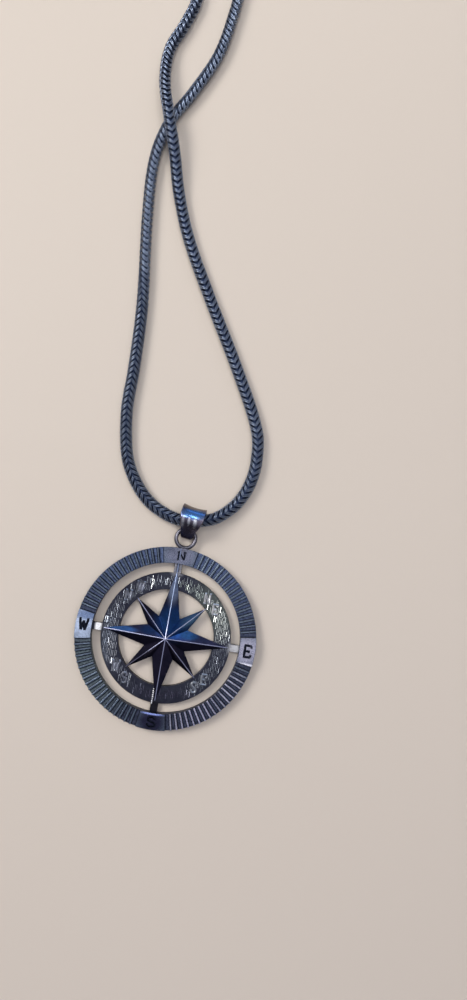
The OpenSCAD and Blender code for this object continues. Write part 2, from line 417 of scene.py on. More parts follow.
class SharedEffects:
    """Node groups that more than one material uses."""

    def __init__(self) -> None:
        """Builds each group once."""
        self.relief = self._relief()
        self.patina = self._patina()
        self.patch = self._patch()

    @staticmethod
    def _new(name: str, inputs: dict[str, object], outputs: Sequence[str]
             ) -> tuple[Graph, bpy.types.bpy_prop_collection, Node]:
        """Makes an empty group with its sockets.

        Args:
            name: Name of the group.
            inputs: Default value of each input: a number, three parts of a vector or four of a colour.
            outputs: Name of each output, of which Color is a colour and the others are numbers.

        Returns:
            The group's graph, what its inputs give, and the node that takes its outputs.
        """
        number, vector, colour = "NodeSocketFloat", "NodeSocketVector", "NodeSocketColor"
        graph = Graph(bpy.data.node_groups.new(name, "ShaderNodeTree"))
        for label, value in inputs.items():
            kind = number if isinstance(value, float) else {3: vector, 4: colour}[len(value)]
            socket = graph.tree.interface.new_socket(label, in_out="INPUT", socket_type=kind)
            socket.default_value = value
        for label in outputs:
            kind = colour if label == "Color" else number
            graph.tree.interface.new_socket(label, in_out="OUTPUT", socket_type=kind)
        return graph, graph.node("NodeGroupInput").outputs, graph.node("NodeGroupOutput")

    def _relief(self) -> bpy.types.NodeTree:
        """Mask that is 0 in a recess and 1 on the raised metal, between two heights in metres."""
        graph, given, result = self._new("relief", {"Floor": 0.0, "Top": 0.001}, ["Raised"])
        height = graph.node("ShaderNodeSeparateXYZ", {0: graph.place()}).outputs["Z"]
        graph.feed(result, {"Raised": graph.ramp(height, given["Floor"], given["Top"])})
        return graph.tree

    def _patina(self) -> bpy.types.NodeTree:
        """Tarnish and wear of a dark plated metal, whose mask Raised says what the tarnish spares."""
        graph, given, result = self._new(
            "patina",
            {"Worn": (0.5, 0.5, 0.55, 1), "Plated": (0.3, 0.3, 0.35, 1), "Tarnish": (0.05, 0.06, 0.1, 1),
             "Raised": 1.0, "Clouds per metre": 600.0, "Speckle": 0.3, "Smooth": 0.15, "Rough": 0.4},
            ["Color", "Roughness", "Height"])
        clouds = graph.node("ShaderNodeTexNoise", {
            "Vector": graph.place(), "Scale": given["Clouds per metre"], "Detail": 4.0, "Roughness": 0.6})
        fine = graph.node("ShaderNodeTexNoise", {
            "Vector": graph.place(), "Scale": graph.calc("MULTIPLY", given["Clouds per metre"], 7.0),
            "Detail": 3.0}).outputs["Fac"]
        top = graph.mix(graph.ramp(clouds.outputs["Fac"], 0.38, 0.66), given["Worn"], given["Plated"])
        stained = graph.mix(graph.ramp(fine, 0.52, 0.72, 0.0, given["Speckle"]), top, given["Tarnish"])
        mottled = graph.ramp(fine, 0.25, 0.75, 0.35, 1.65, "LINEAR")
        deep = graph.vector("SCALE", {0: given["Tarnish"], "Scale": mottled})
        rough = graph.ramp(fine, 0.3, 0.75, given["Smooth"], given["Rough"], "LINEAR")
        dull = graph.ramp(given["Raised"], 0.0, 1.0, 0.25, 0.0, "LINEAR")
        graph.feed(result, {"Color": graph.mix(given["Raised"], deep, stained),
                            "Roughness": graph.calc("ADD", rough, dull), "Height": fine})
        return graph.tree

    def _patch(self) -> bpy.types.NodeTree:
        """Mask of a soft oval patch, given by its centre and its reach in metres."""
        graph, given, result = self._new(
            "patch", {"Centre": (0.0, 0.0, 0.0), "Reach": (0.001, 0.001, 0.001)}, ["Mask"])
        away = graph.vector("SUBTRACT", {0: graph.place(), 1: given["Centre"]})
        share = graph.vector("DIVIDE", {0: away, 1: given["Reach"]})
        length = graph.vector("LENGTH", {0: share}, "Value")
        graph.feed(result, {"Mask": graph.ramp(length, 1.0, 0.35)})
        return graph.tree


@dataclass(frozen=True)
class MetalFinish:
    """Colours and polish of one plated metal."""

    name: str
    worn: Colour
    plated: Colour
    tarnish: Colour
    floor: float = 0.0
    top: float = 0.1
    clouds: float = 600.0
    smooth: float = 0.15
    rough: float = 0.35
    speckle: float = 0.3
    grain: float = 0.003
    wear_and_light_attribute: str = ""
    # Soft patches that paint highlights, reflections and shade into the worn and plated colours
    painted_light_patches: tuple[Spot, ...] = ()
    clean: tuple[Spot, ...] = ()
    # Soft patches that tint the tarnish by place, painting reflections into the hollows
    recess: tuple[Spot, ...] = ()
    crease: Colour | None = None
    crease_from: float = 0.0
    crease_full: float = 0.1

    def build(self, effects: SharedEffects) -> bpy.types.Material:
        """Makes the material.

        Args:
            effects: The shared node groups.

        Returns:
            The material.
        """
        material = bpy.data.materials.new(self.name)
        material.use_nodes = True
        material.diffuse_color = (*self.plated, 1.0)
        graph = Graph(material.node_tree)

        def mask(spot: Spot) -> Socket:
            """Mask of a patch."""
            centre, reach = (tuple(MM * part for part in triple) for triple in spot[:2])
            return graph.group(effects.patch, {"Centre": centre, "Reach": reach}).outputs["Mask"]

        def relief(floor: float, top: float) -> Socket:
            """Mask of what stands above a floor, in millimetres."""
            return graph.group(effects.relief, {"Floor": floor * MM, "Top": top * MM}).outputs["Raised"]

        worn, plated, tarnish = self.worn, self.plated, self.tarnish
        # The recess tints paint reflections into the tarnish, and the painted light patches paint
        # highlights, reflections and shade into the worn and plated colours, so from here on these colours
        # hold painted light as well as the finish
        for spot in self.recess:
            tarnish = graph.mix(mask(spot), tarnish, spot[2])
        if self.crease:
            tarnish = graph.mix(relief(self.crease_from, self.crease_full), tarnish, self.crease)
        for spot in (*self.painted_light_patches, *self.clean):
            inside = mask(spot)
            worn = graph.mix(inside, worn, spot[2])
            plated = graph.mix(inside, plated, tuple(PLATED_SHARE * part for part in spot[2]))
        if self.wear_and_light_attribute:
            raised = graph.node("ShaderNodeAttribute", attribute_name=self.wear_and_light_attribute).outputs["Fac"]
        else:
            raised = relief(self.floor, self.top)
        for spot in self.clean:
            raised = graph.calc("MAXIMUM", raised, mask(spot))
        patina = graph.group(effects.patina, {
            "Worn": worn, "Plated": plated, "Tarnish": tarnish, "Raised": raised,
            "Clouds per metre": self.clouds, "Speckle": self.speckle,
            "Smooth": self.smooth, "Rough": self.rough}).outputs
        bump = graph.node("ShaderNodeBump", {
            "Strength": 0.5, "Distance": self.grain * MM, "Height": patina["Height"]})
        graph.feed(material.node_tree.nodes["Principled BSDF"], {
            "Metallic": 1.0, "Base Color": patina["Color"], "Roughness": patina["Roughness"],
            "Normal": bump.outputs["Normal"]})
        return material


RING_FINISH = MetalFinish(
    "gunmetal ring", worn=(0.105, 0.133, 0.174), plated=(0.08, 0.1, 0.138), tarnish=(0.045, 0.052, 0.083),
    floor=1.76, top=1.86, clouds=420, smooth=0.24, rough=0.34, speckle=0.05, grain=0.0001,
    # The patches paint light and shade on the band: a painted highlight on the west plate with a bluer
    # north end, lighter east and north plates, a painted highlight along the east plate's south edge, a
    # dark south plate, lighter ridges in the south-east, and a painted blue reflection along the south
    # plate's inner edge
    painted_light_patches=(((-14.6, 0.1, 1.9), (3.2, 3.9, 2.0), (0.38, 0.44, 0.57)),
             ((-14.2, 1.75, 1.9), (2.9, 1.2, 2.0), (0.14, 0.185, 0.3)),
             ((14.6, 0.0, 1.9), (3.0, 3.6, 2.0), (0.31, 0.31, 0.39)),
             ((14.55, -2.32, 1.9), (2.8, 0.3, 0.8), (0.72, 0.72, 0.8)),
             ((0.0, 14.6, 1.9), (4.0, 2.6, 2.0), (0.16, 0.17, 0.235)),
             ((0.0, -14.6, 1.9), (3.6, 3.0, 2.0), (0.025, 0.025, 0.05)),
             ((13.2, -7.4, 1.9), (3.6, 4.9, 2.0), (0.42, 0.43, 0.53)),
             ((5.1, -14.0, 1.9), (3.1, 3.0, 2.0), (0.44, 0.43, 0.52)),
             ((8.2, -12.2, 1.9), (6.5, 5.0, 2.0), (0.42, 0.42, 0.54)),
             ((0.0, -13.22, 1.9), (2.6, 0.3, 0.6), (0.34, 0.42, 0.85))),
    clean=(((0.47, 17.9, 1.2), (3.6, 3.0, 3.0), (0.2, 0.19, 0.22)),),
    # The recess tints paint a blue reflection into the grooves of the northern half and a grey-teal one
    # into those of the south-west, over the real tarnish
    recess=(((0.0, 14.0, 1.5), (26.0, 18.0, 9.0), (0.078, 0.105, 0.185)),
            ((-11.5, -8.5, 1.5), (9.0, 11.0, 9.0), (0.1, 0.128, 0.145))),
    crease=(0.014, 0.017, 0.03), crease_from=1.455, crease_full=1.475)
HATCH_FINISH = MetalFinish(
    "hatched inner ring", worn=(0.031, 0.033, 0.047), plated=(0.021, 0.022, 0.034),
    tarnish=(0.02, 0.02, 0.03), floor=0.4, top=0.95, clouds=500, smooth=0.3, rough=0.5,
    # The patches paint light and shade: a painted highlight on the west bar, lighter east and north bars,
    # a dark south bar, and a lighter face in the north-east and along the west
    painted_light_patches=(((-12.08, 0.0, 1.0), (0.82, 2.0, 2.0), (1.0, 1.0, 1.0)),
             ((12.3, 0.0, 1.0), (1.6, 2.0, 2.0), (0.42, 0.42, 0.43)),
             ((8.0, 6.6, 1.0), (6.5, 7.5, 2.0), (0.07, 0.08, 0.078)),
             ((-10.0, -2.2, 1.0), (1.9, 6.8, 2.0), (0.06, 0.066, 0.085)),
             ((0.0, -12.3, 1.0), (1.9, 2.0, 2.0), (0.015, 0.015, 0.02)),
             ((0.0, 12.3, 1.0), (2.0, 1.8, 2.0), (0.25, 0.25, 0.28))))
SPARK_FINISH = MetalFinish(
    "worn hatch and painted highlights", worn=(0.25, 0.27, 0.3), plated=(0.13, 0.145, 0.165), tarnish=(0.03, 0.032, 0.04),
    floor=1.15, top=1.2, clouds=900, smooth=0.14, rough=0.34, speckle=0.7,
    # The patches paint highlights on the dashes in the north-east and north, along a thin line in the
    # north-west and in the west and south-west, and paint shade on them in the south
    painted_light_patches=(((8.6, 4.6, 1.2), (4.4, 5.4, 3.0), (0.88, 0.93, 0.86)),
             ((4.0, 8.8, 1.2), (5.0, 2.8, 3.0), (0.4, 0.45, 0.42)),
             ((-4.0, 9.4, 1.2), (0.28, 2.2, 3.0), (0.7, 0.72, 0.7)),
             ((0.8, -9.8, 1.2), (8.6, 3.6, 3.0), (0.07, 0.065, 0.1)),
             ((-10.1, -1.6, 1.2), (1.5, 6.0, 3.0), (0.36, 0.4, 0.46)),
             ((-8.8, -2.6, 1.2), (1.5, 4.6, 3.0), (0.6, 0.62, 0.64)),
             ((-7.0, -6.6, 1.2), (2.6, 2.4, 3.0), (0.4, 0.42, 0.46))))
LETTER_FINISH = MetalFinish(
    "worn ring letters and painted highlights", worn=(0.5, 0.52, 0.58), plated=(0.3, 0.32, 0.38), tarnish=(0.05, 0.055, 0.08),
    floor=1.16, top=1.34, clouds=900, smooth=0.3, rough=0.5,
    # The patches paint highlights on the north-east and south-east letters
    painted_light_patches=(((6.6, 7.2, 1.3), (5.5, 5.5, 3.0), (1.0, 1.0, 1.0)),
             ((6.6, -7.4, 1.3), (4.6, 4.6, 3.0), (0.6, 0.64, 0.7))))
BEAD_FINISH = MetalFinish(
    "bright beads", worn=(0.97, 0.97, 0.97), plated=(0.8, 0.8, 0.84), tarnish=(0.2, 0.2, 0.24),
    floor=1.0, top=1.15, clouds=900, smooth=0.3, rough=0.5)
STAR_FINISH = MetalFinish(
    "dark star and painted blue reflections", worn=(0.07, 0.06, 0.11), plated=(0.04, 0.04, 0.075), tarnish=(0.02, 0.02, 0.04),
    floor=0.2, top=1.0, clouds=350, smooth=0.12, rough=0.26,
    # The patches paint blue reflections on the facets round the middle and on the north-east, east and
    # west points, a dim one near the middle of the west point, and a pale blue painted sheen on the north
    # point
    painted_light_patches=(((0.9, 2.9, 2.6), (4.6, 4.2, 4.0), (0.05, 0.17, 0.5)),
             ((4.4, 3.6, 2.2), (3.2, 2.8, 3.0), (0.2, 0.42, 0.75)),
             ((3.9, 1.1, 2.0), (2.3, 1.1, 2.6), (0.05, 0.13, 0.27)),
             ((-3.2, 0.9, 2.2), (2.3, 1.1, 2.6), (0.03, 0.055, 0.13)),
             ((-8.2, 0.45, 1.9), (4.0, 0.8, 2.0), (0.15, 0.36, 0.8)),
             ((0.1, 9.4, 2.0), (1.5, 4.6, 2.4), (0.55, 0.68, 0.95))))
RIDGE_FINISH = MetalFinish(
    "worn ridge lines and painted highlights", worn=(0.42, 0.44, 0.62), plated=(0.36, 0.38, 0.54), tarnish=(0.22, 0.24, 0.36),
    floor=0.5, top=1.0, clouds=500, smooth=0.3, rough=0.45,
    # The ridge lines are light partly as worn metal and partly as a painted highlight; the patches paint
    # shade on the north ridge and on the south-west ridges
    painted_light_patches=(((0.0, 8.0, 2.0), (2.0, 8.0, 4.0), (0.19, 0.24, 0.37)),
             ((-4.6, -4.6, 2.0), (4.6, 4.6, 4.0), (0.1, 0.1, 0.15))))
BLADE_FINISH = MetalFinish(
    "steel blue blade", worn=(0.26, 0.31, 0.45), plated=(0.19, 0.23, 0.35), tarnish=(0.1, 0.12, 0.2),
    floor=0.5, top=1.0, clouds=500, smooth=0.3, rough=0.45, grain=0.001)
BAIL_FINISH = MetalFinish(
    "polished bail and painted reflections", worn=(0.2, 0.18, 0.23), plated=(0.13, 0.115, 0.155), tarnish=(0.03, 0.03, 0.04),
    floor=0.0, top=0.3, clouds=350, smooth=0.16, rough=0.32, speckle=0.1, grain=0.001,
    # The patches paint a blue reflection across the crest, a brown-grey reflection along the top rim, and
    # three painted highlights below the blue band
    painted_light_patches=(((1.1, 22.2, 4.1), (3.1, 1.35, 2.4), (0.11, 0.27, 0.62)),
             ((1.25, 23.55, 3.2), (3.4, 0.95, 3.2), (0.2, 0.175, 0.165)),
             ((-0.5, 20.5, 3.9), (0.42, 1.15, 2.0), (0.95, 0.95, 1.0)),
             ((0.55, 20.75, 3.9), (0.36, 1.0, 2.0), (0.95, 0.95, 1.0)),
             ((1.65, 20.6, 3.9), (0.46, 1.1, 2.0), (0.9, 0.92, 0.95))))
CHAIN_FINISH = MetalFinish(
    "foxtail chain", worn=(0.3, 0.36, 0.475), plated=(0.21, 0.255, 0.355), tarnish=(0.026, 0.038, 0.078),
    clouds=450, smooth=0.24, rough=0.42, wear_and_light_attribute="wear_and_painted_light")
CLASP_FINISH = MetalFinish(
    "clasp", worn=(0.24, 0.25, 0.3), plated=(0.17, 0.18, 0.23), tarnish=(0.04, 0.045, 0.07),
    floor=0.0, top=0.4, clouds=500, smooth=0.16, rough=0.32)


class Letter(Enum):
    """Compass letters, each as the strokes that draw it in a square of side 1."""

    N = (((-0.36, -0.5), (-0.36, 0.5)), ((-0.36, 0.48), (0.36, -0.48)), ((0.36, -0.5), (0.36, 0.5)),
         ((-0.52, 0.5), (-0.2, 0.5)), ((-0.52, -0.5), (-0.2, -0.5)), ((0.2, 0.5), (0.52, 0.5)))
    E = (((-0.3, -0.5), (-0.3, 0.5)), ((-0.42, 0.5), (0.38, 0.5), (0.38, 0.3)),
         ((-0.42, -0.5), (0.4, -0.5), (0.4, -0.28)), ((-0.3, 0.0), (0.14, 0.0)),
         ((0.14, -0.12), (0.14, 0.12)))
    S = (((0.36, 0.24), (0.3, 0.46), (0.0, 0.54), (-0.34, 0.42), (-0.36, 0.12), (0.0, 0.0),
          (0.37, -0.12), (0.38, -0.42), (0.0, -0.54), (-0.32, -0.46), (-0.38, -0.22)),)
    W = (((-0.5, 0.5), (-0.24, -0.5), (0.0, 0.38), (0.24, -0.5), (0.5, 0.5)),
         ((-0.64, 0.5), (-0.34, 0.5)), ((0.34, 0.5), (0.64, 0.5)))

    def lines(self, centre: Vector, width: float, height: float) -> list[Line]:
        """Lines that draw the letter upright at a place, smooth where a stroke has many points.

        Args:
            centre: Middle of the letter.
            width: Size of the square's side along x.
            height: Size of the square's side along y.

        Returns:
            The open lines.
        """
        lines = []
        for stroke in self.value:
            points = [(centre.x + x * width, centre.y + y * height, centre.z) for x, y in stroke]
            if self is Letter.S:
                lines.append((points, False, True))
            else:
                lines += [([start, end], False, False) for start, end in zip(points, points[1:])]
        return lines


@dataclass
class OuterRing:
    """Ridged ring with its letter plates and its eyelet."""

    top: float = 1.9
    ring_r: float = 16.0
    band: float = 2.85
    groove_depth: float = 0.45
    groove_slope: float = 0.16
    wide_slope: float = 0.27
    eyelet_x: float = 0.4
    eyelet_r: float = 2.3
    eyelet_inset: float = 0.1
    eyelet_top: float = 1.8
    edge_round: float = 0.045
    round_down_to: float = 1.3
    letter_depth: float = 1.4
    # Plate, letter, shift along x, width, height and half a stroke's width
    letters: tuple[tuple[Compass, Letter, float, float, float, float], ...] = (
        (Compass.NORTH, Letter.N, 0.3, 1.45, 1.3, 0.17), (Compass.EAST, Letter.E, 0.0, 1.6, 2.0, 0.23),
        (Compass.SOUTH, Letter.S, 0.0, 1.8, 1.55, 0.21), (Compass.WEST, Letter.W, 0.0, 1.4, 1.9, 0.25))
    blade_width: float = 0.62
    blade_taper: float = 0.6
    blade_crest: float = 0.35
    blade_rise: float = 0.2
    blade_sunk: float = 0.3
    blade_drop: float = 0.55
    blade_ends: Point2 = (11.65, 15.85)

    def build(self, effects: SharedEffects) -> None:
        """Builds and dresses the ring."""
        mesh = Bench.solid_of("outer_ring")
        Bench.round_edges(mesh, self.edge_round, self._on_the_band)
        self._slope_grooves(mesh)
        ring = Bench.piece("ridged_ring", mesh)
        Bench.cut(ring, Bench.piece("letters", self._letters()))
        ring.data.set_sharp_from_angle(angle=math.radians(12))
        Bench.finish(ring, RING_FINISH.build(effects), Slot.RING, "outer_ring")
        Bench.finish(Bench.piece("north_blade", self._blade()), BLADE_FINISH.build(effects), Slot.RING)

    def _slope_grooves(self, mesh: BMesh) -> None:
        """Gives each groove a rounded slope along both its walls, wider in the south-west quarter."""
        low = self.top - self.groove_depth
        feet = [edge for edge in mesh.edges
                if edge.is_manifold and not edge.is_convex
                and edge.calc_face_angle(0.0) > math.radians(SHARP)
                and all(abs(vert.co.z - low) < NEAR for vert in edge.verts)]
        log.info("grooves: %d feet", len(feet))
        wide = [edge for edge in feet if all(max(vert.co.xy) < 0 for vert in edge.verts)]
        others = [edge for edge in feet if edge not in wide]
        Bench.bevel(mesh, wide, self.wide_slope, clamp=True)
        Bench.bevel(mesh, others, self.groove_slope, clamp=True)

    def _on_the_band(self, edge: Edge) -> bool:
        """Whether an edge lies on the ring's band, clear of the eyelet and of the sockets."""
        middle = (edge.verts[0].co + edge.verts[1].co) / 2
        reach = middle.to_2d().length
        by_eyelet = (middle.y > 0 and middle.z < self.eyelet_top
                     and reach > self.ring_r - self.eyelet_inset
                     and abs(middle.x - self.eyelet_x) < self.eyelet_r)
        return middle.z > self.round_down_to and reach < self.ring_r + NEAR and not by_eyelet

    def _letters(self) -> BMesh:
        """Wires along the letters' strokes, which the plates are cut with."""
        tools = bmesh.new()
        for place, letter, shift, width, height, stroke in self.letters:
            centre = polar(place.value, self.ring_r - self.band / 2) + Vector((shift, 0, 0))
            wires = Bench.wires(letter.lines(centre, width, height), stroke, 8)
            Bench.move(wires, (0, 0, self.top), (1, 1, self.letter_depth))
            Bench.add(tools, wires)
        return tools

    def _blade(self) -> BMesh:
        """Thin raised blade that carries the star's north point on across the bar and the plate."""
        blade = bmesh.new()
        bmesh.ops.create_cone(blade, cap_ends=True, segments=4, radius1=1, radius2=1, depth=1)
        Bench.move(blade, turn=45)
        Bench.move(blade, turn=90, axis="X")
        for vert in blade.verts:
            inner, upper = vert.co.y < 0, vert.co.z > 0
            half = self.blade_width / 2 * (1.0 if inner else self.blade_taper)
            half *= self.blade_crest if upper or not inner else 1.0
            base = self.top - (self.blade_drop if inner else 0.0)
            vert.co = (math.copysign(half, vert.co.x), self.blade_ends[0 if inner else 1],
                       base + (self.blade_rise if upper else -self.blade_sunk))
        Bench.outwards(blade)
        return blade


@dataclass
class InnerRing:
    """Flat hatched ring with four bars and raised letters."""

    top: float = 1.2
    outer_r: float = 11.5
    inner_r: float = 8.45
    rim: float = 0.16
    edge_round: float = 0.05
    round_down_to: float = 0.9
    hatch_pitch: float = 0.29
    dash_length: float = 1.2
    dash_gap: float = 0.12
    dash_width: float = 0.13
    dash_rise: float = 0.1
    dash_sunk: float = 0.08
    dash_roll: float = 0.22
    dash_pitch: float = 0.12
    dash_sway: float = 0.03
    dash_shares: Point2 = (0.75, 1.05)
    dash_crest: float = 0.25
    letter_width: float = 1.215
    letter_height: float = 1.75
    letter_stroke: float = 0.22
    letter_stretch: float = 1.35
    letter_lift: float = 0.06
    letters: tuple[tuple[Letter, float], ...] = (
        (Letter.N, 38), (Letter.E, 51.5), (Letter.E, 128), (Letter.S, 141),
        (Letter.W, 231.5), (Letter.S, 217), (Letter.N, 309), (Letter.W, 324))
    bead_r: float = 0.22
    small_bead: float = 0.8
    bead_count: int = 9
    bead_pitch: float = 0.36
    bead_start: Point2 = (-0.52, 0.25)
    bead_sway: float = 0.02

    def build(self, effects: SharedEffects) -> None:
        """Builds and dresses the inner ring."""
        mesh = Bench.solid_of("inner_ring")
        Bench.round_edges(mesh, self.edge_round,
                          lambda edge: min(vert.co.z for vert in edge.verts) > self.round_down_to)
        base = Bench.piece("hatched_ring", mesh, smooth_angle=12)
        Bench.finish(base, HATCH_FINISH.build(effects), Slot.DARK, "inner_ring")
        hatch = Bench.piece("ring_hatch", self._hatch(), smooth_angle=5)
        Bench.finish(hatch, SPARK_FINISH.build(effects), Slot.DARK)
        letters = Bench.piece("ring_letters", self._letters())
        Bench.finish(letters, LETTER_FINISH.build(effects), Slot.DARK)
        Bench.finish(Bench.piece("south_beads", self._beads()), BEAD_FINISH.build(effects), Slot.DARK)

    def _dash_fits(self, x: float, y: float) -> bool:
        """Whether a dash at a place lies whole on the ring's face."""
        ends = [math.hypot(x, y + side * self.dash_length / 2) for side in (-1, 1)]
        return min(ends) > self.inner_r + self.rim and max(ends) < self.outer_r - self.rim

    def _hatch(self) -> BMesh:
        """Rows of small tilted dashes that run north and south over the face."""
        rng = random.Random(7)
        hatch = bmesh.new()
        columns = int(self.outer_r / self.hatch_pitch)
        step = self.dash_length + self.dash_gap
        rows = int(self.outer_r / step)
        for column in range(-columns, columns + 1):
            x = column * self.hatch_pitch
            phase = rng.random() * step
            for row in range(-rows - 1, rows + 1):
                y = row * step + phase
                if not self._dash_fits(x, y):
                    continue
                roll = Matrix.Rotation(rng.uniform(-self.dash_roll, self.dash_roll), 4, "Y")
                pitch = Matrix.Rotation(rng.uniform(-self.dash_pitch, self.dash_pitch), 4, "X")
                place = Matrix.Translation((x + rng.uniform(-self.dash_sway, self.dash_sway), y,
                                            self.top + (self.dash_rise - self.dash_sunk) / 2))
                size = Matrix.Diagonal((self.dash_width, self.dash_length * rng.uniform(*self.dash_shares),
                                        self.dash_rise + self.dash_sunk, 1))
                dash = bmesh.ops.create_cube(hatch, size=1.0, matrix=place @ roll @ pitch @ size)["verts"]
                crest = [vert for vert in dash if vert.co.z > self.top]
                middle = sum((vert.co for vert in crest), Vector()) / max(len(crest), 1)
                for vert in crest:
                    vert.co.x += (middle.x - vert.co.x) * self.dash_crest
        return hatch

    def _letters(self) -> BMesh:
        """Raised letters of the four in-between directions."""
        lines = []
        for letter, angle in self.letters:
            centre = polar(angle, (self.inner_r + self.outer_r) / 2)
            lines += letter.lines(centre, self.letter_width, self.letter_height)
        letters = Bench.wires(lines, self.letter_stroke, 6)
        Bench.move(letters, (0, 0, self.top + self.letter_lift), (1, 1, self.letter_stretch))
        return letters

    def _beads(self) -> BMesh:
        """Row of worn beads along the south bar's west edge, every second one smaller."""
        beads = bmesh.new()
        x, gap = self.bead_start
        for index in range(self.bead_count):
            place = (x + self.bead_sway * (index % 2), -self.inner_r - gap - index * self.bead_pitch,
                     self.top)
            radius = self.bead_r * (1.0 if index % 2 else self.small_bead)
            bmesh.ops.create_icosphere(beads, subdivisions=2, radius=radius,
                                       matrix=Matrix.Translation(place))
        return beads


@dataclass
class CompassStar:
    """Faceted eight-pointed star."""

    base: float = 1.2
    edge: float = 0.4
    rise: float = 1.9
    inner_r: float = 8.45
    north_reach: float = 3.35
    long_reach: float = 2.75
    short_reach: float = 0.3
    valley_r: float = 4.0
    valley_angle: float = 27.5
    ridge_width: float = 0.09
    pin_r: float = 0.3
    pin_inset: float = 0.85
    pin_lift: float = 0.05

    def build(self, effects: SharedEffects) -> None:
        """Builds and dresses the star."""
        star = Bench.piece("faceted_star", self._facets(), smooth_angle=8)
        Bench.finish(star, STAR_FINISH.build(effects), Slot.STAR, "compass_star")
        star.data.materials.append(RIDGE_FINISH.build(effects))
        Bench.finish(Bench.piece("star_pins", self._pins()), HATCH_FINISH.build(effects), Slot.STAR)

    def _plan(self) -> list[Vector]:
        """Corners of the star's outline, clockwise from the north point, at the top of its edge."""
        corners = []
        for index in range(8):
            if index == 0:
                reach = self.north_reach
            else:
                reach = self.short_reach if index % 2 else self.long_reach
            valley = 45 * index + (45 - self.valley_angle if index % 2 else self.valley_angle)
            corners.append(polar(45 * index, self.inner_r + reach, self.base + self.edge))
            corners.append(polar(valley, self.valley_r, self.base + self.edge))
        return corners

    def _facets(self) -> BMesh:
        """The star's body, with narrow lines along its eight ridges that are light partly from wear and
        partly from a painted highlight.
        """
        star = bmesh.new()
        corners = self._plan()
        bmesh.ops.create_cone(star, cap_ends=True, segments=len(corners), radius1=1, radius2=0, depth=2)
        bmesh.ops.remove_doubles(star, verts=star.verts, dist=WELD)
        apex = max(star.verts, key=lambda vert: vert.co.z)
        rim = sorted((vert for vert in star.verts if vert is not apex),
                     key=lambda vert: math.atan2(vert.co.x, vert.co.y + WELD) % math.tau)
        for vert, corner in zip(rim, corners):
            vert.co = corner
        apex.co = (0, 0, self.base + self.edge + self.rise)
        ridges = [edge for edge in apex.link_edges
                  if edge.other_vert(apex).co.to_2d().length > self.valley_r + 1]
        under = [face for face in star.faces if apex not in face.verts]
        lowered = bmesh.ops.extrude_discrete_faces(star, faces=under)["faces"]
        bmesh.ops.translate(star, vec=(0, 0, -self.edge), verts=lowered[0].verts)
        Bench.outwards(star)
        Bench.bevel(star, ridges, self.ridge_width, material=1)
        bmesh.ops.triangulate(star, faces=[face for face in star.faces if len(face.verts) > 4])
        return star

    def _pins(self) -> BMesh:
        """Rivet pins under the four long points."""
        pins = bmesh.new()
        for place in Compass:
            centre = polar(place.value, self.inner_r + self.pin_inset, self.base / 2 + self.pin_lift)
            bmesh.ops.create_cone(pins, cap_ends=True, segments=24, radius1=self.pin_r, radius2=self.pin_r,
                                  depth=self.base, matrix=Matrix.Translation(centre))
        return pins


